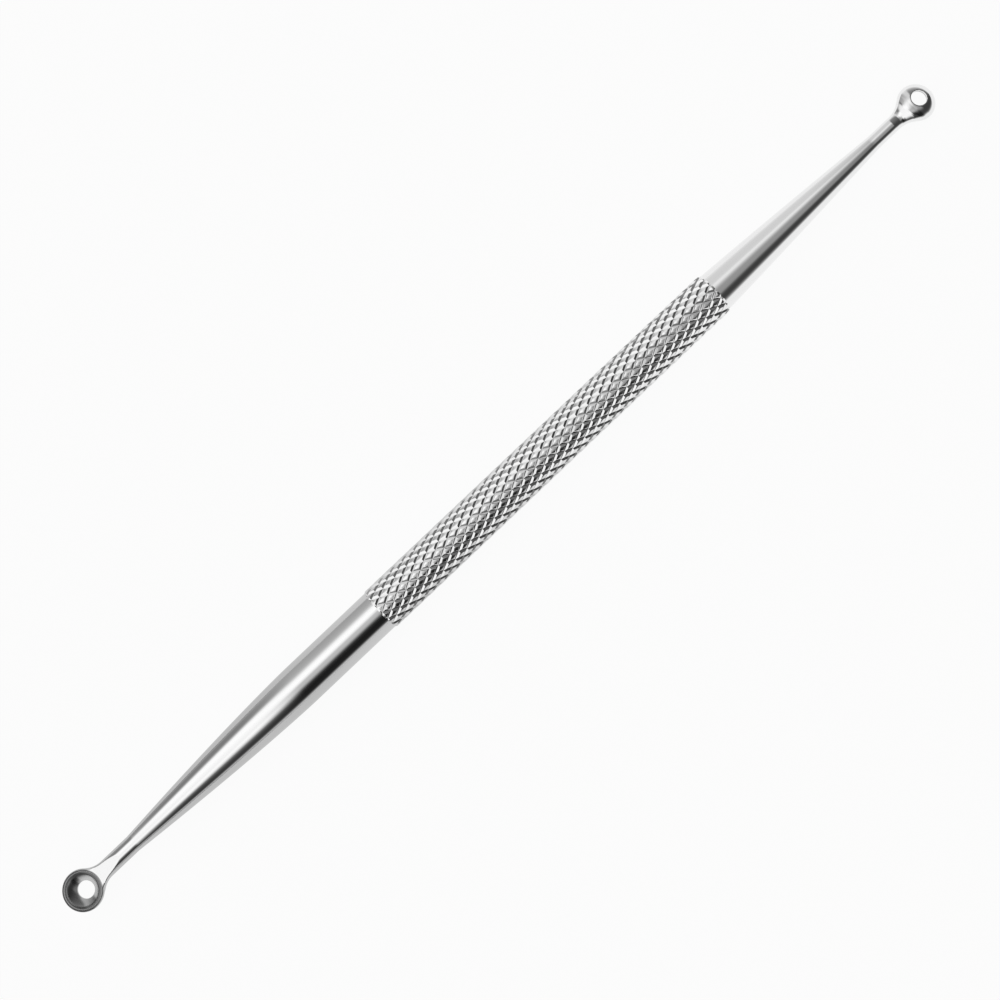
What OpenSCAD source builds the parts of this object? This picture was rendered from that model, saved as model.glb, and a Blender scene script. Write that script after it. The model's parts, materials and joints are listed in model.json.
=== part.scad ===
// Double-ended comedone extractor: a round bar, knurled along its middle and drawn down at both ends
// to a thin neck. Each neck carries a small pierced cup, and the two cups face opposite ways.
// The bar lies along X on the crests of its knurl, with the large cup towards -X and open upwards.

/* [Knurled grip] */
// Diameter over the crests of the knurl
grip_d = 5.78; // [5.6:0.02:6.4]
// Length of the knurled stretch
grip_len = 56.5; // [40:0.5:70]
// Depth of the grooves below the crests
groove_depth = 0.17; // [0.1:0.01:0.24]
// Width of each groove across its mouth
groove_w = 0.3; // [0.2:0.02:0.44]
// How many grooves wind round the grip each way
groove_starts = 16; // [12:1:18]
// Angle between a groove and the length of the grip, in degrees
groove_angle = 30; // [28:1:36]
// Length in which the grooves run out at each end of the grip
groove_runout = 0.35; // [0.2:0.05:0.6]

/* [Large end] */
// Diameter of the plain round shank beside the grip
shank_d = 5.5; // [4.8:0.05:5.6]
// Length of the plain round shank
shank_len = 13; // [6:0.5:20]
// Length of the taper from the plain shank down to the neck
large_taper_len = 28.4; // [18:0.1:34]
// How strongly that taper swells before it reaches the shank, where 1 is a straight cone
large_taper_bow = 1.5; // [1:0.05:1.8]
// Diameter of the neck behind the large cup
large_neck_d = 2.25; // [1.9:0.05:2.5]
// Length of the neck, from the taper to the middle of the large cup
large_neck_len = 8.3; // [8:0.1:14]

/* [Large cup] */
// Diameter of the large cup over its rim
large_cup_d = 5.3; // [4.9:0.05:6]
// Depth of the large cup, from its rim to the middle of its back
large_cup_depth = 2.05; // [1.8:0.05:2.4]
// Wall of the large cup in the middle of its back
large_cup_wall = 0.42; // [0.3:0.02:0.55]
// Diameter of the hole through the large cup
large_hole_d = 2.24; // [1.6:0.02:2.6]

/* [Small end] */
// Diameter of the taper where it leaves the grip
small_root_d = 5.4; // [4.6:0.05:5.5]
// Length of the taper from the grip down to the neck
small_taper_len = 26.7; // [18:0.1:34]
// How strongly that taper swells before it reaches the grip, where 1 is a straight cone
small_taper_bow = 1.1; // [1:0.05:1.8]
// Diameter of the neck behind the small cup
small_neck_d = 2; // [1.8:0.05:2.3]
// Length of the neck, from the taper to the middle of the small cup
small_neck_len = 7; // [6.4:0.1:12]

/* [Small cup] */
// Diameter of the small cup over its rim
small_cup_d = 4.85; // [4.5:0.05:5.4]
// Depth of the small cup, from its rim to the middle of its back
small_cup_depth = 1.9; // [1.7:0.05:2.2]
// Wall of the small cup in the middle of its back
small_cup_wall = 0.4; // [0.3:0.02:0.5]
// Diameter of the hole through the small cup
small_hole_d = 2; // [1.4:0.02:2.3]
// Angle by which the back of the small cup leans away from the bar, in degrees
small_cup_tilt = 13; // [0:1:16]

/* [Forged ends] */
// Height of each rim over the middle of the neck, on the side that the cup opens to
rim_h = 0.55; // [0.4:0.01:0.7]
// Reach of the ground flat, from the middle of each cup along the neck
flat_len = 6.2; // [5:0.1:6.4]
// Reach of the shoulder behind each cup, from the middle of the cup along the neck
shoulder_len = 4.4; // [3.8:0.1:4.8]
// How far the shoulder's back stands proud of the neck
shoulder_rise = 0.2; // [0.1:0.01:0.3]
// Radius of the fillets that spread the shoulder into the sides of the cup
fillet_r = 3.2; // [1.6:0.1:4]
// Upright lip below each rim, before the back of the cup curves in
lip_h = 0.35; // [0.2:0.05:0.5]
// Width of each rim between its hollow and its side
rim_w = 0.16; // [0.14:0.01:0.3]
// Rounding of the outer edge of each rim
rim_round = 0.1; // [0.06:0.01:0.12]

/* [Hidden] */

steel = [0.74, 0.75, 0.76];
taper_steps = 18;
bowl_steps = 12;
round_steps = 4;
turned_fn = 96;
shoulder_fn = 32;
shoulder_steps = 8;
// Share of the shoulder taken up by its round nose, how far it reaches in under the cup, and how much
// narrower than the cup it is there
nose_share = 0.3;
shoulder_reach_in = 0.4;
shoulder_waist = 0.08;
// A small length by which tools overrun and hidden ends sink in
sink = 0.05;
overrun = 1;

// The large cup stands upright to the bar
large_cup_tilt = 0;

crest_r = grip_d / 2;
root_r = crest_r - groove_depth;
// The side tips of each diamond lie a little lower than the ridge along its middle
side_tip_drop = 0.02;
side_r = crest_r - side_tip_drop;
slots = 2 * groove_starts;
slot_angle = 360 / slots;

// Rows of diamonds, each half a diamond on from the last, in the whole number that fits the grip best
diamond_w = PI * grip_d / groove_starts;
half_diamond_len = diamond_w / tan(groove_angle) / 2;
full_len = grip_len - 2 * groove_runout;
rows = round(full_len / half_diamond_len);
row_pitch = full_len / rows;
// Share of the width and length of each diamond's cell that its flat top takes up
top_share = 1 - groove_w / (diamond_w * cos(groove_angle));
// The ridges of two neighbouring lines of diamonds carry the bar, so it rests on the narrow flat between
axis_z = max(crest_r * cos(slot_angle / 2), side_r * cos((top_share - 0.5) * slot_angle));

large_end_len = large_cup_d / 2 + large_neck_len + large_taper_len + shank_len;
// The leaning back of the small cup reaches a little further than its rim
small_cup_reach = lip_h * sin(small_cup_tilt)
    + norm([small_cup_d / 2 * cos(small_cup_tilt), (small_cup_depth - lip_h) * sin(small_cup_tilt)]);
small_end_len = small_cup_reach + small_neck_len + small_taper_len;
overall_len = large_end_len + grip_len + small_end_len;
large_cup_x = -overall_len / 2 + large_cup_d / 2;
grip_x = -overall_len / 2 + large_end_len;
small_cup_x = overall_len / 2 - small_cup_reach;

// A point on the grip at x, at an angle about the bar and a radius
function grip_point(x, angle, r) = [x, r * cos(angle), r * sin(angle)];
function slot_at(k) = -90 + (k + 0.5) * slot_angle;
function row_x(i) = grip_x + groove_runout + i * row_pitch;

// The flat top of a diamond in row i: its two side tips, then its near and far tips. The first row and
// the last are cut off square at the middle of their diamonds.
function diamond_top(i, k) = [
    grip_point(row_x(i), slot_at(k) - top_share * slot_angle, side_r),
    grip_point(row_x(i), slot_at(k) + top_share * slot_angle, side_r),
    grip_point(row_x(i) - (i > 0 ? top_share * row_pitch : 0), slot_at(k), crest_r),
    grip_point(row_x(i) + (i < rows ? top_share * row_pitch : 0), slot_at(k), crest_r)
];

// Diamonds stand in the slots where i + k is even, and grooves cross where it is odd. These give the
// place in the list of points of a corner of a diamond's top, and of a crossing.
function top_id(i, k, corner) = 4 * (i * groove_starts + floor(k / 2)) + corner;
function crossing_id(i, k) =
    4 * (rows + 1) * groove_starts + i * groove_starts + floor(((k + slots) % slots) / 2);

// One diamond: two halves of its top, and the groove walls down to the crossings round it
function diamond_faces(i, k) =
    let (
        left = top_id(i, k, 0), right = top_id(i, k, 1), near = top_id(i, k, 2), far = top_id(i, k, 3),
        left_low = crossing_id(i, k - 1), right_low = crossing_id(i, k + 1)
    )
        concat(
            [[near, far, right], [near, left, far]],
            i == rows ? [] : let (far_low = crossing_id(i + 1, k)) [
                [far, far_low, right_low], [far, right_low, right],
                [far, left, left_low], [far, left_low, far_low]
            ],
            i == 0 ? [] : let (near_low = crossing_id(i - 1, k)) [
                [near, right, right_low], [near, right_low, near_low],
                [near, near_low, left_low], [near, left_low, left]
            ]
        );

// The points of row i in order round the bar, with the middle of each cut diamond given by its corner
function end_row(i, corner) = [
    for (m = [0:groove_starts - 1])
        let (k = 2 * m + i % 2, top = [top_id(i, k, 0), top_id(i, k, corner), top_id(i, k, 1)])
            for (id = i % 2 ? concat([crossing_id(i, k - 1)], top) : concat(top, [crossing_id(i, k + 1)])) id
];

// A strip between two rows of n points, from the one nearer the large end to the other
function strip(near_row, far_row, n) = [
    for (j = [0:n - 1], half = [0, 1])
        let (next = (j + 1) % n)
            half == 0
                ? [near_row[j], far_row[j], near_row[next]]
                : [near_row[next], far_row[j], far_row[next]]
];

// Joins row after row of n points into a closed skin. Each square is split across its even corner.
function skin(rows_n, n) = concat(
    [[for (k = [0:n - 1]) k]],
    [
        for (j = [0:rows_n - 2], k = [0:n - 1], half = [0, 1])
            let (a = j * n + k, b = j * n + (k + 1) % n, c = a + n, d = b + n, even = (j + k) % 2 == 0)
                even ? (half == 0 ? [a, c, b] : [b, c, d]) : (half == 0 ? [a, d, b] : [a, c, d])
    ],
    [[for (k = [n - 1:-1:0]) (rows_n - 1) * n + k]]
);

// Flat-topped diamonds between two families of grooves, closed by a plain round end face at each end
module knurled_grip() {
    tops = [
        for (i = [0:rows], m = [0:groove_starts - 1], p = diamond_top(i, 2 * m + i % 2)) p
    ];
    crossings = [
        for (i = [0:rows], m = [0:groove_starts - 1])
            grip_point(row_x(i), slot_at(2 * m + 1 - i % 2), root_r)
    ];
    knurl = concat(tops, crossings);
    first = end_row(0, 2);
    last = end_row(rows, 3);
    n = len(first);
    near_face = [
        for (id = first)
            let (p = knurl[id], across = norm([p.y, p.z]), r = shank_d / 2 - sink)
                [grip_x, p.y * r / across, p.z * r / across]
    ];
    far_face = [
        for (id = last)
            let (p = knurl[id], across = norm([p.y, p.z]), r = small_root_d / 2 - sink)
                [grip_x + grip_len, p.y * r / across, p.z * r / across]
    ];
    near_ids = [for (j = [0:n - 1]) len(knurl) + j];
    far_ids = [for (j = [0:n - 1]) len(knurl) + n + j];
    polyhedron(
        concat(knurl, near_face, far_face),
        concat(
            [for (i = [0:rows], m = [0:groove_starts - 1], face = diamond_faces(i, 2 * m + i % 2)) face],
            strip(near_ids, first, n),
            strip(last, far_ids, n),
            [near_ids, [for (j = [n - 1:-1:0]) far_ids[j]]]
        )
    );
}

// Outline of one end of the bar from its cup outwards, as distance from the cup against radius.
// It starts at the middle of the cup, where the cup's hollow later takes it away.
function end_outline(neck_d, neck_len, taper_len, bow, root_d, plain_len) = concat(
    [[0, 0], [neck_d / 2, 0]],
    [
        for (i = [0:taper_steps])
            let (u = 1 - i / taper_steps)
                [root_d / 2 - (root_d - neck_d) / 2 * pow(u, bow), neck_len + taper_len * (1 - u)]
    ],
    [[root_d / 2, neck_len + taper_len + plain_len], [0, neck_len + taper_len + plain_len]]
);

module turned_end(neck_d, neck_len, taper_len, bow, root_d, plain_len) {
    rotate([0, 90, 0])
        rotate_extrude($fn = turned_fn)
            polygon(end_outline(neck_d, neck_len, taper_len, bow, root_d, plain_len));
}

// Leans a cup, drawn with the middle of its rim at the origin, and lifts it to the height of its rim
module leaning(tilt) {
    translate([0, 0, rim_h])
        rotate([0, tilt, 0])
            children();
}

// Outside of a cup: a rounded rim, an upright lip and a back that curves in under it
module cup_body(cup_d, depth) {
    r = cup_d / 2;
    lip = [
        for (i = [0:round_steps])
            let (a = 90 * i / round_steps)
                [r - rim_round + rim_round * sin(a), -rim_round + rim_round * cos(a)]
    ];
    back = [
        for (i = [0:bowl_steps])
            let (a = 90 * i / bowl_steps) [r * cos(a), -lip_h - (depth - lip_h) * sin(a)]
    ];
    rotate_extrude($fn = turned_fn)
        polygon(concat([[0, 0]], lip, back));
}

// Hollow of a cup, as deep as its wall allows, and open above the rim
module cup_hollow(cup_d, depth, wall) {
    r = cup_d / 2 - rim_w;
    bowl = [
        for (i = [0:bowl_steps])
            let (a = 90 * i / bowl_steps) [r * cos(a), -(depth - wall) * sin(a)]
    ];
    rotate_extrude($fn = turned_fn)
        polygon(concat([[0, overrun], [r, overrun]], bowl));
}

module cup_hole(depth, hole_d) {
    translate([0, 0, -depth - overrun])
        cylinder(h = depth + 2 * overrun, d = hole_d, $fn = turned_fn);
}

// Where a point beside the upright cup goes when the cup leans
function tip(p, tilt) =
    let (below = p.z - rim_h)
        [p.x * cos(tilt) + below * sin(tilt), p.y, rim_h - p.x * sin(tilt) + below * cos(tilt)];

// How far below the middle of the neck an upright cup's back lies, at a distance r from its hole's axis
function back_at(r, cup_r, depth) = lip_h - rim_h + (depth - lip_h) * sqrt(1 - pow(r / cup_r, 2));

// A cross-section of the shoulder at x. Its mouth side is squarer than an ellipse where square is under 1.
function shoulder_section(x, half_w, front, back, square) = [
    for (k = [0:shoulder_fn - 1])
        let (a = (k + 0.5) * 360 / shoulder_fn, c = cos(a), s = sin(a))
            s > 0
                ? [x, half_w * sign(c) * pow(abs(c), square), front * pow(s, square)]
                : [x, half_w * c, back * s]
];

// The shoulder swells out of the neck with a round nose. A fillet spreads it into the side of the cup,
// and its back runs straight into the cup's own back.
module shoulder(neck_d, cup_d, depth, tilt) {
    neck_r = neck_d / 2;
    cup_r = cup_d / 2;
    fillet_x = sqrt(pow(cup_r + fillet_r, 2) - pow(neck_r + fillet_r, 2));
    tangent_x = fillet_x * cup_r / (cup_r + fillet_r) * cos(tilt);
    reach_in = cup_r * shoulder_reach_in;
    inner = tip([reach_in, 0, sink - back_at(reach_in, cup_r, depth)], tilt);
    xs = concat(
        [
            for (i = [1:shoulder_steps])
                shoulder_len - (shoulder_len - tangent_x) * pow(i / shoulder_steps, 2)
        ],
        [(tangent_x + inner.x) / 2, inner.x, inner.x / 2]
    );
    sections = [
        for (x = xs)
            let (
                t = (shoulder_len - x) / (shoulder_len - inner.x),
                nose = 1 - min(1, t / nose_share),
                swell = sqrt(1 - nose * nose),
                arc = max(0, fillet_x - x / cos(tilt)),
                narrower = 1 - shoulder_waist * (tangent_x - x) / (tangent_x - inner.x),
                half_w = x > tangent_x
                    ? (neck_r - sink) * swell + fillet_r - sqrt(pow(fillet_r, 2) - arc * arc)
                    : sqrt(cup_r * cup_r - pow(x / cos(tilt), 2)) * narrower - sink,
                back = x < inner.x
                    ? -inner.z - 2 * sink
                    : (neck_r + shoulder_rise) * (1 - t) - inner.z * t
            )
                shoulder_section(x, half_w, (neck_r - sink) * swell, back * swell, 1 - min(1, t) / 2)
    ];
    points = [for (i = [len(sections) - 1:-1:0], p = sections[i]) p];
    polyhedron(points, skin(len(sections), shoulder_fn));
}

// All that was ground away over the rim, flush with it across the cup and then rising to the round neck
module ground_flat(neck_d, cup_d, tilt) {
    top = neck_d + rim_h;
    far_edge = tip([-cup_d / 2 - overrun, 0, rim_h], tilt);
    near_edge = tip([cup_d / 2, 0, rim_h], tilt);
    rotate([90, 0, 0])
        linear_extrude(cup_d + 2 * overrun, center = true)
            polygon([
                [far_edge.x, far_edge.z],
                [near_edge.x, near_edge.z],
                [flat_len, neck_d / 2],
                [flat_len, top],
                [far_edge.x, top]
            ]);
}

// One end of the bar with its cup at the origin, open towards +Z, and the bar running towards +X
module cup_end(neck_d, neck_len, taper_len, bow, root_d, plain_len, cup_d, depth, wall, hole_d, tilt) {
    difference() {
        union() {
            turned_end(neck_d, neck_len, taper_len, bow, root_d, plain_len);
            leaning(tilt) cup_body(cup_d, depth);
            shoulder(neck_d, cup_d, depth, tilt);
        }
        ground_flat(neck_d, cup_d, tilt);
        leaning(tilt) cup_hollow(cup_d, depth, wall);
        leaning(tilt) cup_hole(depth, hole_d);
    }
}

module extractor() {
    color(steel)
        translate([0, 0, axis_z]) {
            knurled_grip();
            translate([large_cup_x, 0, 0])
                cup_end(
                    large_neck_d, large_neck_len, large_taper_len, large_taper_bow,
                    shank_d, shank_len + groove_runout / 2,
                    large_cup_d, large_cup_depth, large_cup_wall, large_hole_d, large_cup_tilt
                );
            translate([small_cup_x, 0, 0])
                rotate([0, 180, 0])
                    cup_end(
                        small_neck_d, small_neck_len, small_taper_len, small_taper_bow,
                        small_root_d, groove_runout / 2,
                        small_cup_d, small_cup_depth, small_cup_wall, small_hole_d, small_cup_tilt
                    );
        }
}

extractor();
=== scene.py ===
# %% [markdown]
# # A double-ended comedone extractor
# The real thing is one bar of stainless steel, about 14.5 cm long. The middle is knurled for the fingers,
# both ends are drawn down to thin necks, and each neck ends in a small pierced cup. One cup opens upwards
# and the other downwards. The engineer's model gives the frame: every size and place below follows it.

# %% The frame
import json
import math

import bmesh
import bpy
from mathutils import Matrix, Vector


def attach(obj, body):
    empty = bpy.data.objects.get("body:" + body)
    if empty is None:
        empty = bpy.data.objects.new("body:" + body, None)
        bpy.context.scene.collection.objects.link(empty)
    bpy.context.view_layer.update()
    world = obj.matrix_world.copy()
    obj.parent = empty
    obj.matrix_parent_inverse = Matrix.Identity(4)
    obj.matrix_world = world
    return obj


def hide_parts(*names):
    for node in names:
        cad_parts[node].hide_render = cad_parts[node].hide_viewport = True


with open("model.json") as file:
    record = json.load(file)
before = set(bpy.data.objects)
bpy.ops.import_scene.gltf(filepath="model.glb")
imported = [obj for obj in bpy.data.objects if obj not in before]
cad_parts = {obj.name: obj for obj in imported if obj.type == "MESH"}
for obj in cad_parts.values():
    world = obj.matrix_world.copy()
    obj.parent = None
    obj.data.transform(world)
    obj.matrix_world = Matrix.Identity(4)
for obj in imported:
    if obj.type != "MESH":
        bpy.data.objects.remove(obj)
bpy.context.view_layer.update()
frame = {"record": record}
mounts = {mount["name"]: mount for mount in frame["record"]["mounts"]}

# %% [markdown]
# ## Sizes in millimetres
# Half a millimetre matters on this tool, and Blender's tools for merging and remeshing are happier with
# numbers near 1 than near 0.001. So the steel is modelled in millimetres, with the bar along X and its
# axis at the origin, and the finished mesh is scaled to metres once, at the end.

# %% Sizes
MM = 0.001
LARGE_X = mounts["large_cup_hole"]["pos_m"][0] / MM
AXIS_Z = mounts["plain_shank"]["pos_m"][2] / MM
RIM_H = 0.55
# The small cup leans: its hole's axis runs from the hole to the middle of the rim
lean_hole, lean_axis = Vector(mounts["small_cup_hole"]["pos_m"]) / MM, Vector(mounts["small_cup_hole"]["axis"])
SMALL_X = (lean_hole + lean_axis * (AXIS_Z - RIM_H - lean_hole.z) / lean_axis.z).x
SMALL_TILT = math.degrees(math.atan2(-lean_axis.x, -lean_axis.z))
SHANK_R = mounts["plain_shank"]["dims"]["r_mm"]
SHANK_LEN = mounts["plain_shank"]["dims"]["length_mm"]
GRIP_LEN = 56.5
CREST_R = 2.89
RUNOUT = 0.35
STARTS = 16
RINGS = 57
GRIP_X = mounts["plain_shank"]["pos_m"][0] / MM + SHANK_LEN / 2
LARGE = {
    "x": LARGE_X, "turn": 0, "neck_r": 1.125, "neck_len": 8.3, "taper_len": 28.4, "root_r": SHANK_R,
    "bow": 1.5, "cup_r": 2.65, "depth": 2.05, "wall": 0.42, "tilt": 0,
    "hole_r": mounts["large_cup_hole"]["dims"]["r_mm"],
}
SMALL = {
    "x": SMALL_X, "turn": 180, "neck_r": 1.0, "neck_len": 7.0, "taper_len": 26.7, "root_r": 2.7,
    "bow": 1.1, "cup_r": 2.425, "depth": 1.9, "wall": 0.4, "tilt": SMALL_TILT,
    "hole_r": mounts["small_cup_hole"]["dims"]["r_mm"],
}
print("cup middles at", round(LARGE_X, 2), "and", round(SMALL_X, 2), "mm; grip from", round(GRIP_X, 2))

# %% [markdown]
# ## Working by hand, in code
# Modelling by hand is a loop: add a primitive, pick some of its faces or edges, and use a tool on them.
# These helpers are the hand that picks. Operators act on everything selected, so each starts by
# deselecting all.

# %% Helpers for adding, picking and joining
def only(*pieces):
    """Select these pieces and nothing else; the first one is active."""
    if bpy.context.mode != "OBJECT":
        bpy.ops.object.mode_set(mode="OBJECT")
    bpy.ops.object.select_all(action="DESELECT")
    for piece in pieces:
        piece.select_set(True)
    bpy.context.view_layer.objects.active = pieces[0]


def add(name, operator, **settings):
    """Add a primitive under a name and open it in edit mode."""
    if bpy.context.mode != "OBJECT":
        bpy.ops.object.mode_set(mode="OBJECT")
    bpy.ops.object.select_all(action="DESELECT")
    operator(**settings)
    piece = bpy.context.object
    piece.name = piece.data.name = name
    bpy.ops.object.mode_set(mode="EDIT")
    bpy.ops.mesh.select_mode(type="VERT")
    bpy.ops.mesh.select_all(action="SELECT")
    return piece


def pick(piece, wanted, kind="verts"):
    """In edit mode, select only the verts, edges or faces that pass a test."""
    mesh = bmesh.from_edit_mesh(piece.data)
    bpy.ops.mesh.select_mode(type={"verts": "VERT", "edges": "EDGE", "faces": "FACE"}[kind])
    bpy.ops.mesh.select_all(action="DESELECT")
    for part in getattr(mesh, kind):
        part.select = bool(wanted(part))
    mesh.select_flush_mode()
    bmesh.update_edit_mesh(piece.data)


def step(x=0, y=0, z=0):
    """Extrude what is selected and move the new part."""
    bpy.ops.mesh.extrude_region_move(TRANSFORM_OT_translate={"value": (x, y, z)})


def modify(piece, kind, **settings):
    """Add a modifier and apply it."""
    only(piece)
    modifier = piece.modifiers.new(kind.title(), kind)
    for key, value in settings.items():
        setattr(modifier, key, value)
    bpy.ops.object.modifier_apply(modifier=modifier.name)


def combine(piece, tool, operation):
    """Add or cut one closed mesh with another, which is used up."""
    modify(piece, "BOOLEAN", object=tool, operation=operation, solver="MANIFOLD")
    bpy.data.objects.remove(tool)


def settle(piece):
    """Apply the piece's place, turn and scale to its mesh."""
    only(piece)
    bpy.ops.object.transform_apply(location=True, rotation=True, scale=True)

# %% [markdown]
# ## Turned shapes
# The shanks, tapers and necks are turned on a lathe, and so are the backs and hollows of the cups. In
# Blender that is a line of points spun round an axis. A cylinder with scaled loops would do too, but a
# spun outline keeps every radius where the drawing has it.

# %% A lathe
def turned(name, outline, axis, steps=96):
    """Draw an outline point by point from one end of the axis to the other, and spin it."""
    piece = add(name, bpy.ops.mesh.primitive_plane_add, size=1)
    bpy.ops.mesh.merge(type="CENTER")
    along = Vector(axis)
    across = Vector((0, 0, 1)) if axis[0] else Vector((1, 0, 0))
    points = [along * a + across * r for a, r in outline]
    bpy.ops.transform.translate(value=points[0])
    for before, after in zip(points, points[1:]):
        step(*(after - before))
    bpy.ops.mesh.select_all(action="SELECT")
    bpy.ops.mesh.spin(steps=steps, angle=math.tau, center=(0, 0, 0), axis=axis)
    bpy.ops.mesh.select_all(action="SELECT")
    bpy.ops.mesh.remove_doubles(threshold=0.0005)
    bpy.ops.mesh.normals_make_consistent(inside=False)
    bpy.ops.object.mode_set(mode="OBJECT")
    print(name, len(piece.data.polygons), "faces")
    return piece

# %% [markdown]
# ## The shanks, tapers and necks
# Each end swells from a thin straight neck to the full bar in a long taper that is very slightly bowed,
# as a drawn and polished taper is. The large end has a plain cylinder before the knurl, and the small end
# tapers straight out of it.

# %% Both ends of the bar
TAPER_RINGS = 40
NECK_START = 6.7
SINK = 0.05


def bar_end(name, end, plain_len):
    """One end of the bar, from the neck to just inside the knurl."""
    neck, root, reach = end["neck_r"], end["root_r"], end["neck_len"] + end["taper_len"]
    outline = [(NECK_START, 0), (NECK_START, neck), ((NECK_START + end["neck_len"]) / 2, neck)]
    for i in range(TAPER_RINGS + 1):
        share = 1 - i / TAPER_RINGS
        outline.append((end["neck_len"] + end["taper_len"] * (1 - share), root - (root - neck) * share ** end["bow"]))
    rings = max(1, round(plain_len / 2))
    outline += [(reach + plain_len * i / rings, root) for i in range(1, rings + 1)]
    outline.append((reach + plain_len, 0))
    piece = turned(name, outline, (1, 0, 0))
    piece.rotation_euler.y = math.radians(end["turn"])
    piece.location.x = end["x"]
    settle(piece)
    return piece


large_bar = bar_end("large_bar", LARGE, SHANK_LEN + RUNOUT / 2)
small_bar = bar_end("small_bar", SMALL, RUNOUT / 2)

# %% [markdown]
# ## The knurl
# Two families of grooves wind round the grip, one each way, and leave diamonds between them. A texture
# could fake that, but the diamonds break up the outline and the light, so they are real. One diamond is
# modelled flat, repeated into a sheet, and the sheet is rolled into a tube, which closes on itself
# because sixteen diamonds are exactly one turn.

# %% One diamond
DIAMOND_W = math.tau * CREST_R / STARTS
DIAMOND_LEN = 2 * (GRIP_LEN - 2 * RUNOUT) / RINGS
WALL_STEPS = ((0.03, 0.02, 0), (0.19, 0.145, 0.015), (0.05, 0.014, 0))
CROWN = 0.004
GROOVE_DEPTH = sum(up for _, up, _ in WALL_STEPS) + CROWN

knurl = add("knurl", bpy.ops.mesh.primitive_circle_add, vertices=4, radius=1, fill_type="NGON", location=(0, 0, 0))
bpy.ops.transform.resize(value=(DIAMOND_LEN / 2, DIAMOND_W / 2, 1))
bpy.ops.transform.translate(value=(0, 0, -GROOVE_DEPTH))
for inwards, upwards, shift in WALL_STEPS:
    bpy.ops.mesh.inset(thickness=inwards, depth=upwards)
    bpy.ops.transform.translate(value=(shift / 2, shift * 0.87, 0))
bpy.ops.mesh.poke(offset=CROWN)
bpy.ops.object.mode_set(mode="OBJECT")
print("one diamond:", len(knurl.data.polygons), "faces,", round(DIAMOND_LEN, 3), "by", round(DIAMOND_W, 3), "mm")

# %% The sheet of diamonds
only(knurl)
bpy.ops.object.duplicate_move(TRANSFORM_OT_translate={"value": (DIAMOND_LEN / 2, DIAMOND_W / 2, 0)})
neighbour = bpy.context.object
settle(neighbour)
only(knurl, neighbour)
bpy.ops.object.join()
for count, pitch in (((RINGS + 1) // 2, (DIAMOND_LEN, 0, 0)), (STARTS, (0, DIAMOND_W, 0))):
    modify(
        knurl, "ARRAY", count=count, use_relative_offset=False, use_constant_offset=True,
        constant_offset_displace=pitch, use_merge_vertices=True, merge_threshold=0.002,
    )
print("sheet:", len(knurl.data.polygons), "faces")

# %% Rolled into a tube
knurl.rotation_euler.x = math.radians(90)
settle(knurl)
modify(
    knurl, "SIMPLE_DEFORM", deform_method="BEND", deform_axis="X",
    angle=math.tau * (STARTS + 0.5) / STARTS,
)
knurl.location = (GRIP_X + RUNOUT, -CREST_R, 0)
settle(knurl)
knurl.rotation_euler.x = math.radians(5.625)
settle(knurl)

# %% Both ends of the tube cut square and run out into the plain bar
bpy.ops.object.mode_set(mode="EDIT")
bpy.ops.mesh.select_all(action="SELECT")
bpy.ops.mesh.remove_doubles(threshold=0.004)
for end_x, way, radius in (
    (GRIP_X + RUNOUT, -1, SHANK_R - SINK),
    (GRIP_X + GRIP_LEN - RUNOUT, 1, SMALL["root_r"] - SINK),
):
    bpy.ops.mesh.select_all(action="SELECT")
    bpy.ops.mesh.bisect(
        plane_co=(end_x, 0, 0), plane_no=(1, 0, 0), clear_inner=way < 0, clear_outer=way > 0, threshold=0.0005,
    )
    pick(knurl, lambda edge: edge.is_boundary and all(abs(v.co.x - end_x) < 0.01 for v in edge.verts), "edges")
    step(x=way * RUNOUT)
    bpy.ops.transform.resize(value=(1, radius / CREST_R, radius / CREST_R), center_override=(end_x + way * RUNOUT, 0, 0))
    bpy.ops.mesh.edge_face_add()
bpy.ops.mesh.select_all(action="SELECT")
bpy.ops.mesh.normals_make_consistent(inside=False)
bpy.ops.object.mode_set(mode="OBJECT")
print("knurl:", len(knurl.data.polygons), "faces")

# %% [markdown]
# ## The cups
# Each cup is forged out of the neck: a shoulder swells out of it with a round nose and runs into the back
# of the cup. Then the rim is ground flat and the hole is drilled, the outside is polished, and last the
# hollow is turned out and the hole reamed to size. The same order is followed here with solids. A fine
# remesh with a little smoothing is the polishing: it melts the edges together, and the cuts made after it
# stay sharp.

# %% The shapes that make a cup
LIP_H = 0.35
BEVEL_W = 0.24
BEVEL_H = 0.24
RIM_W = 0.15
FLAT_LEN = 6.2
SHOULDER_LEN = 4.1
FILLET_R = 3.2
DIP = 0.15
DIP_X = 3.0
RISE_X = 1.2
REACH_IN = 0.4
WAIST = 0.08
HEAD_END = 7.2
ARC_STEPS = 14
SHOULDER_STEPS = 18
OVERRUN = 1.0


def quarter(steps):
    return [math.pi / 2 * i / steps for i in range(steps + 1)]


def cup_body(end):
    """The outside of a cup: back, upright lip and bevelled rim, from the bottom up."""
    r, depth = end["cup_r"], end["depth"]
    outline = [(RIM_H - LIP_H - (depth - LIP_H) * math.cos(a), r * math.sin(a)) for a in quarter(ARC_STEPS)]
    outline += [(RIM_H - BEVEL_H, r), (RIM_H, r - BEVEL_W), (RIM_H, 0)]
    return turned("cup_body", outline, (0, 0, 1))


def cup_hollow(end):
    """The turned hollow, which runs out over the rim."""
    r, depth = end["cup_r"] - RIM_W, end["depth"] - end["wall"]
    outline = [(RIM_H - depth * math.cos(a), r * math.sin(a)) for a in quarter(ARC_STEPS)]
    outline += [(RIM_H + OVERRUN, r), (RIM_H + OVERRUN, 0)]
    return turned("cup_hollow", outline, (0, 0, 1))


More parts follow.
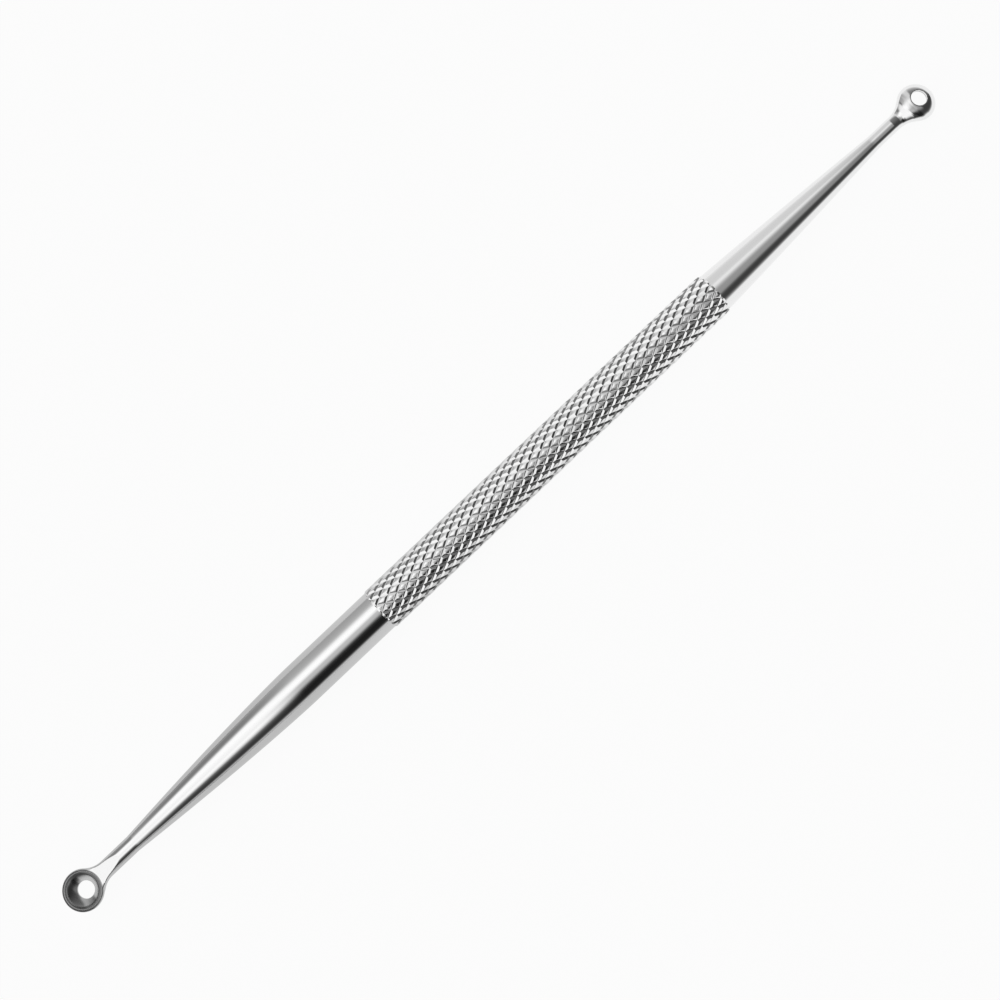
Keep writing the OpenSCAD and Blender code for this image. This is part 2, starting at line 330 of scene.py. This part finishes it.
def cup_hole(end, r):
    """A drill or reamer, longer than the cup is deep."""
    low, high = RIM_H - end["depth"] - OVERRUN, RIM_H + OVERRUN
    return turned("cup_hole", [(low, 0), (low, r), (high, r), (high, 0)], (0, 0, 1))

# %% The shoulder behind the cup
def tip(x, z, tilt):
    """Where a point beside the upright cup goes when the cup leans about the middle of its rim."""
    a, below = math.radians(tilt), z - RIM_H
    return x * math.cos(a) + below * math.sin(a), RIM_H - x * math.sin(a) + below * math.cos(a)


def shoulder(end):
    """Rings of 48 points, extruded from the neck towards the cup and scaled to their width and height."""
    neck, cup = end["neck_r"], end["cup_r"]
    fillet_x = math.sqrt((cup + FILLET_R) ** 2 - (neck + FILLET_R) ** 2)
    slant = math.cos(math.radians(end["tilt"]))
    tangent_x = fillet_x * cup / (cup + FILLET_R) * slant
    back_z = RIM_H - LIP_H - (end["depth"] - LIP_H) * math.sqrt(1 - REACH_IN ** 2) + SINK
    inner_x, inner_z = tip(cup * REACH_IN, back_z, end["tilt"])
    low = neck * (1 - DIP)
    xs = [SHOULDER_LEN - (SHOULDER_LEN - tangent_x) * i / SHOULDER_STEPS for i in range(SHOULDER_STEPS + 1)]
    xs += [(tangent_x + inner_x) / 2, inner_x]
    piece = add("shoulder", bpy.ops.mesh.primitive_circle_add, vertices=48, radius=1, fill_type="NGON",
                rotation=(0, math.radians(90), 0), location=(xs[0], 0, 0))
    settle(piece)
    bpy.ops.object.mode_set(mode="EDIT")
    bpy.ops.mesh.select_all(action="SELECT")
    width = height = 1.0
    x, middle = xs[0], 0.0
    for i, at in enumerate(xs):
        arc = max(0, fillet_x - at / slant)
        if at > tangent_x:
            half_w = neck + FILLET_R - math.sqrt(FILLET_R ** 2 - arc ** 2)
        else:
            narrower = 1 - WAIST * (tangent_x - at) / (tangent_x - inner_x)
            half_w = math.sqrt(cup ** 2 - (at / slant) ** 2) * narrower - SINK
        rise = max(0, min(1, (DIP_X - at) / (DIP_X - RISE_X)))
        back = neck + (low - neck) * min(1, (SHOULDER_LEN - at) / (SHOULDER_LEN - DIP_X))
        back += (-inner_z - low) * rise ** 2 * (3 - 2 * rise)
        half_h, centre = (neck + back) / 2, (neck - back) / 2
        if i:
            step(x=at - x)
        bpy.ops.transform.resize(value=(1, half_w / width, half_h / height), center_override=(at, 0, middle))
        bpy.ops.transform.translate(value=(0, 0, centre - middle))
        width, height, middle, x = half_w, half_h, centre, at
    bpy.ops.mesh.select_all(action="SELECT")
    bpy.ops.mesh.normals_make_consistent(inside=False)
    bpy.ops.object.mode_set(mode="OBJECT")
    return piece

# %% What the grinding takes away
def ground_flat(end):
    """A block over the rim, flush with it across the cup, whose near end rises to the round neck."""
    top = 2 * end["neck_r"] + RIM_H
    far_x, far_z = tip(-end["cup_r"] - OVERRUN, RIM_H, end["tilt"])
    near_x, near_z = tip(end["cup_r"], RIM_H, end["tilt"])
    piece = add("ground_flat", bpy.ops.mesh.primitive_cube_add, size=2, location=(0, 0, 0))
    bpy.ops.transform.resize(value=(1, end["cup_r"] + OVERRUN, 1))
    for wanted_x, x, low in ((-1, far_x, far_z), (1, near_x, near_z)):
        for wanted_z, z in ((-1, low), (1, top)):
            pick(piece, lambda vert: abs(vert.co.x - wanted_x) + abs(vert.co.z - wanted_z) < 0.01)
            bpy.ops.transform.translate(value=(x - wanted_x, 0, z - wanted_z))
    pick(piece, lambda face: face.normal.x > 0.9, "faces")
    step(x=FLAT_LEN - near_x)
    pick(piece, lambda vert: vert.co.x > FLAT_LEN - 0.01 and vert.co.z < near_z + 0.01)
    bpy.ops.transform.translate(value=(0, 0, end["neck_r"] - near_z))
    bpy.ops.object.mode_set(mode="OBJECT")
    return piece

# %% Forging, grinding, drilling, polishing, turning and reaming
VOXEL = 0.07
POLISH_STEPS = 20
REAM = 0.05


def tipped(tool, end):
    """Turn a turned shape about the middle of its rim, so that its back leans away from the bar."""
    lift = Matrix.Translation((0, 0, RIM_H))
    tool.data.transform(lift @ Matrix.Rotation(math.radians(end["tilt"]), 4, "Y") @ lift.inverted())
    return tool


def head(name, end):
    """One finished cup with its shoulder and a stub of neck, in its place on the bar."""
    neck = end["neck_r"]
    start = SHOULDER_LEN - SINK
    piece = turned(name, [(start, 0), (start, neck), (HEAD_END, neck), (HEAD_END, 0)], (1, 0, 0))
    combine(piece, shoulder(end), "UNION")
    combine(piece, tipped(cup_body(end), end), "UNION")
    combine(piece, ground_flat(end), "DIFFERENCE")
    combine(piece, tipped(cup_hole(end, end["hole_r"] - REAM), end), "DIFFERENCE")
    modify(piece, "REMESH", mode="VOXEL", voxel_size=VOXEL)
    modify(piece, "SMOOTH", factor=0.5, iterations=POLISH_STEPS)
    combine(piece, tipped(cup_hollow(end), end), "DIFFERENCE")
    combine(piece, tipped(cup_hole(end, end["hole_r"]), end), "DIFFERENCE")
    piece.rotation_euler.y = math.radians(end["turn"])
    piece.location.x = end["x"]
    settle(piece)
    print(name, len(piece.data.polygons), "faces")
    return piece


large_head = head("large_head", LARGE)
small_head = head("small_head", SMALL)

# %% [markdown]
# ## One piece of steel
# Five closed meshes become one, as the real tool is one bar. A boolean union leaves nothing hidden
# inside. Then the mesh goes from millimetres to metres, up to where the bar's crests touch the table.

# %% Union, scale and smooth shading
SMOOTH_ANGLE = 20
extractor = knurl
extractor.name = extractor.data.name = "extractor_steel"
for part in (large_bar, small_bar, large_head, small_head):
    combine(extractor, part, "UNION")
extractor.scale = (MM, MM, MM)
extractor.location.z = AXIS_Z * MM
settle(extractor)
bpy.ops.object.shade_smooth_by_angle(angle=math.radians(SMOOTH_ANGLE), keep_sharp_edges=False)
print("extractor:", len(extractor.data.polygons), "faces,",
      sum(len(face.vertices) - 2 for face in extractor.data.polygons), "triangles")

# %% [markdown]
# ## Writing materials as sums
# Node trees are easier to read as expressions. A Wire wraps one socket, and sums or products of wires
# add the Math nodes. Any other node comes from one method.

# %% Wires and nodes
class Wire:
    """A value in a node tree."""

    def __init__(self, tree, socket):
        self.tree, self.socket = tree, socket

    def math(self, operation, *values):
        node = self.tree.nodes.new("ShaderNodeMath")
        node.operation = operation
        for place, value in zip(node.inputs, values):
            if isinstance(value, Wire):
                self.tree.links.new(value.socket, place)
            else:
                place.default_value = value
        return Wire(self.tree, node.outputs[0])

    def __add__(self, other): return self.math("ADD", self, other)
    def __radd__(self, other): return self.math("ADD", other, self)
    def __sub__(self, other): return self.math("SUBTRACT", self, other)
    def __rsub__(self, other): return self.math("SUBTRACT", other, self)
    def __mul__(self, other): return self.math("MULTIPLY", self, other)
    def __rmul__(self, other): return self.math("MULTIPLY", other, self)


class Graph:
    """The nodes of one material or world."""

    def __init__(self, owner):
        owner.use_nodes = True
        self.tree = owner.node_tree
        self.tree.nodes.clear()

    def node(self, kind, settings=None, **sockets):
        """Add a node: its settings first, then the values or links of its sockets."""
        node = self.tree.nodes.new(kind)
        for key, value in (settings or {}).items():
            if key == "stops":
                ramp = node.color_ramp
                while len(ramp.elements) < len(value):
                    ramp.elements.new(0.5)
                for element, (at, level) in zip(ramp.elements, value):
                    element.position = at
                    element.color = (level, level, level, 1) if isinstance(level, float) else (*level, 1)
            else:
                setattr(node, key, value)
        for key, value in sockets.items():
            places = [s for s in node.inputs if s.name.replace(" ", "_") == key and s.enabled]
            place = places[0] if places else node.inputs[int(key.lstrip("s"))]
            if isinstance(value, Wire):
                self.tree.links.new(value.socket, place)
            else:
                place.default_value = value
        return node

    def out(self, node, name=None):
        """A node's first output in use, or the one with this name."""
        return Wire(self.tree, next(s for s in node.outputs if s.enabled and name in (None, s.name)))

# %% [markdown]
# ## Polished stainless steel
# Polished steel has almost no colour of its own: it shows the room. What tells it from plain chrome is
# the fine work left by polishing and faint rings round the turned bar, both in the roughness, and a softer
# shine inside each cup. The inside of each cup is also painted darker: painted shade in the hollow.

# %% The steel
steel = bpy.data.materials.new("polished_steel")
g = Graph(steel)
place = g.out(g.node("ShaderNodeTexCoord"), "Object")
cells = g.node("ShaderNodeTexNoise", Vector=place, Scale=420.0, Detail=3.0, Roughness=0.6)
rings = g.node(
    "ShaderNodeTexNoise",
    Vector=g.out(g.node("ShaderNodeMapping", Vector=place, Scale=(9000.0, 300.0, 300.0))), Scale=1.0, Detail=2.0,
)
rough = 0.03 + 0.04 * g.out(cells) + 0.03 * g.out(rings)


def bowl(end, mouth):
    """1 on the turned inside of a cup and 0 elsewhere, from the place of a point in the cup's own oval."""
    rim = Vector((end["x"], 0, AXIS_Z + (RIM_H if end["turn"] == 0 else -RIM_H))) * MM
    a, b = (end["cup_r"] - RIM_W / 2) * MM, (end["depth"] - end["wall"] / 2) * MM
    offset = g.out(g.node("ShaderNodeVectorMath", {"operation": "SUBTRACT"}, s0=place, s1=tuple(rim)))
    deep = g.out(g.node("ShaderNodeVectorMath", {"operation": "DOT_PRODUCT"}, s0=offset, s1=tuple(mouth)), "Value")
    away = g.out(g.node("ShaderNodeVectorMath", {"operation": "DOT_PRODUCT"}, s0=offset, s1=offset), "Value")
    oval = (away - deep * deep) * (1 / a ** 2) + deep * deep * (1 / b ** 2)
    return g.out(g.node("ShaderNodeMapRange", {"interpolation_type": "SMOOTHSTEP"}, Value=oval,
                        From_Min=1.04, From_Max=0.98))


# Mask of the cup insides: there the finish is rougher, which is real, and the colour darker, which is painted shade.
satin_and_painted_shade = bowl(LARGE, mounts["large_cup_hole"]["axis"]) + bowl(SMALL, mounts["small_cup_hole"]["axis"])
# The 0.42 grey is painted shade inside the cups; 0.75 is the steel's own colour.
steel_tone_with_painted_shade = g.node(
    "ShaderNodeMix", {"data_type": "RGBA"}, Factor=satin_and_painted_shade, A=(0.75, 0.75, 0.75, 1), B=(0.42, 0.42, 0.42, 1),
)
shine = g.node(
    "ShaderNodeBsdfPrincipled", Base_Color=g.out(steel_tone_with_painted_shade, "Result"), Metallic=1.0, Roughness=rough + 0.12 * satin_and_painted_shade,
)
g.node("ShaderNodeOutputMaterial", Surface=g.out(shine))
extractor.data.materials.clear()
extractor.data.materials.append(steel)
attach(extractor, "root")
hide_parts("extractor")

# %% [markdown]
# ## The floor
# The photograph is taken on clean white. A plain pale sheet carries the tool and keeps a faint soft
# shadow, and a glow that only the camera sees makes the rest of it white. What the steel reflects of the
# sheet is a painted reflection: a glow that is dimmer towards the large end and goes dark past it,
# painted shade that draws a dark edge round the large cup.

# %% The floor
FLOOR_SIZE = 3.0
bpy.ops.object.select_all(action="DESELECT")
bpy.ops.mesh.primitive_plane_add(size=FLOOR_SIZE, location=(0, 0, 0))
floor = bpy.context.object
floor.name = floor.data.name = "floor"
paper = bpy.data.materials.new("white_sheet")
# Levels of the painted reflection of the sheet at the large and small ends, and the reach along X over which it
# changes.
PAINTED_REFLECTION_LOW, PAINTED_REFLECTION_HIGH, END_X = 0.66, 1.1, 0.035
g = Graph(paper)
ray = g.node("ShaderNodeLightPath")
seen = g.out(ray, "Is Camera Ray")
mirrored = g.out(ray, "Is Glossy Ray")
spot = g.node("ShaderNodeSeparateXYZ", Vector=g.out(g.node("ShaderNodeTexCoord"), "Object"))
# Painted reflection: in the steel, the sheet glows dimmer towards the large end and brighter towards the small end.
painted_reflection_level = g.node("ShaderNodeMapRange", Value=g.out(spot, "X"), From_Min=-END_X, From_Max=END_X, To_Min=PAINTED_REFLECTION_LOW, To_Max=PAINTED_REFLECTION_HIGH)
# Painted shade: past the large end the reflected sheet goes nearly dark.
painted_dark_past_large_end = g.node("ShaderNodeMapRange", Value=g.out(spot, "X"), From_Min=-0.08, From_Max=-0.074, To_Min=0.08, To_Max=1.0)
sheet = g.node("ShaderNodeBsdfDiffuse", Color=(0.8, 0.8, 0.8, 1))
glow = g.node("ShaderNodeEmission", Color=(1, 1, 1, 1), Strength=seen + g.out(painted_reflection_level) * g.out(painted_dark_past_large_end) * mirrored)
direct = 0.94 * seen + mirrored
both = g.node("ShaderNodeMixShader", Fac=direct, s1=g.out(sheet), s2=g.out(glow))
g.node("ShaderNodeOutputMaterial", Surface=g.out(both))
floor.data.materials.append(paper)

# %% [markdown]
# ## The studio
# A mirror-bright bar is lit by what it reflects. The room here is a soft tent with one dark gap beside
# the tool: it gives the dark stripe that runs the whole length of the bar. Directions are read as an
# angle round the bar, from the table on one side, over the top, to the table on the other.

# %% The room round the tool
LARGE_CUP_SIDE = (
    (-90, 155), (-75, 122), (-57, 123), (-48, 160), (-41, 220), (-34, 251), (-20, 254), (-5, 246), (8, 241),
    (20, 252), (28, 235), (35, 190), (43, 110), (51, 76), (60, 57), (72, 54), (78, 90), (85, 170), (90, 180),
)
SHANK_SIDE = (
    (-90, 160), (-82, 155), (-57, 166), (-46, 180), (-37, 214), (-30, 242), (-22, 253), (-12, 254), (-4, 238),
    (5, 190), (18, 180), (24, 150), (30, 92), (37, 44), (49, 26), (60, 28), (71, 34), (77, 80), (84, 168), (90, 200),
)
SMALL_CUP_SIDE = (
    (-90, 226), (-73, 208), (-50, 205), (-36, 208), (-25, 230), (-17, 222), (-10, 196), (-2, 165), (6, 147),
    (20, 144), (28, 137), (34, 104), (41, 70), (50, 58), (62, 62), (71, 98), (78, 158), (84, 222), (90, 236),
)
NEAR_SIDE = (
    (-90, 190), (-70, 215), (-55, 232), (-35, 242), (20, 248), (36, 244), (50, 205), (60, 130), (72, 75), (90, 110),
)
FAR_SIDE = (
    (-90, 215), (-75, 165), (-60, 128), (-40, 114), (-20, 104), (0, 88), (20, 70), (40, 58), (60, 60), (74, 88),
    (83, 165), (90, 215),
)
STEEL_SHARE = 0.75
PEAK = 1.36


def light_level(value):
    """A level from 0 to 255 on the screen as light, as a share of the room's brightest."""
    level = value / 255
    linear = level / 12.92 if level <= 0.04045 else ((level + 0.055) / 1.055) ** 2.4
    return min(1.0, linear / STEEL_SHARE / PEAK)


world = bpy.data.worlds.new("studio")
bpy.context.scene.world = world
g = Graph(world)
way = g.node("ShaderNodeSeparateXYZ", Vector=g.out(g.node("ShaderNodeTexCoord"), "Generated"))
along, across, up = g.out(way, "X"), g.out(way, "Y"), g.out(way, "Z")
angle = along.math("ARCTAN2", -1 * across, up)
share = angle * (1 / math.tau) + 0.5
levels = [
    g.out(g.node("ShaderNodeValToRGB", {"stops": [(0.5 + a / 360, light_level(v)) for a, v in table]}, Fac=share))
    for table in (LARGE_CUP_SIDE, SHANK_SIDE, SMALL_CUP_SIDE, FAR_SIDE, NEAR_SIDE)
]


def sweep(start, end):
    """A soft step along the tool, from 0 at one place to 1 at the other."""
    node = g.node("ShaderNodeMapRange", {"interpolation_type": "SMOOTHSTEP"}, Value=along, From_Min=start, From_Max=end)
    return g.out(node)


to_shank, to_small, to_far = sweep(-0.26, -0.14), sweep(-0.04, 0.2), sweep(0.32, 0.46)
room = (levels[0] * (1 - to_shank) + levels[1] * to_shank) * (1 - to_small) + levels[2] * to_small
room = room * (1 - to_far) + levels[3] * to_far
to_near = sweep(-0.34, -0.46)
room = room * (1 - to_near) + levels[4] * to_near
ray = g.node("ShaderNodeLightPath")
seen = g.out(ray, "Is Camera Ray")
strength = room * PEAK * (1 - seen) + seen
backdrop = g.node("ShaderNodeBackground", Color=(1, 1, 1, 1), Strength=strength)
g.node("ShaderNodeOutputWorld", Surface=g.out(backdrop))

# %% [markdown]
# ## The camera
# The photograph looks straight down on the tool, which lies across it from the lower left to the upper
# right. Turning the camera, and not the tool, keeps the tool on the frame's own axis.

# %% The camera
VIEW_TURN = 43.43
VIEW_LEAN = 8.0
VIEW_HEIGHT = 240.0
VIEW_WIDTH = 122.13
SENSOR = 36.0
PIXEL = VIEW_WIDTH / 1000
AIM = (0.8 * PIXEL, -3.0 * PIXEL)
turn, lean = math.radians(VIEW_TURN), math.radians(VIEW_LEAN)
to_camera = Vector((0, -math.sin(lean), math.cos(lean)))
along_bar = Vector((1, 0, 0))
over_bar = to_camera.cross(along_bar)
right = along_bar * math.cos(turn) - over_bar * math.sin(turn)
upward = along_bar * math.sin(turn) + over_bar * math.cos(turn)
aim = right * AIM[0] + upward * AIM[1] + Vector((0, 0, AXIS_Z))
stand = (aim + to_camera * VIEW_HEIGHT) * MM
facing = Matrix((right, upward, to_camera)).transposed()
bpy.ops.object.camera_add(location=stand, rotation=facing.to_euler())
camera = bpy.context.object
camera.name = "camera"
camera.data.sensor_width = SENSOR
camera.data.lens = SENSOR * VIEW_HEIGHT / VIEW_WIDTH
camera.data.clip_start = 0.001
scene = bpy.context.scene
scene.camera = camera
scene.view_settings.view_transform = "Standard"
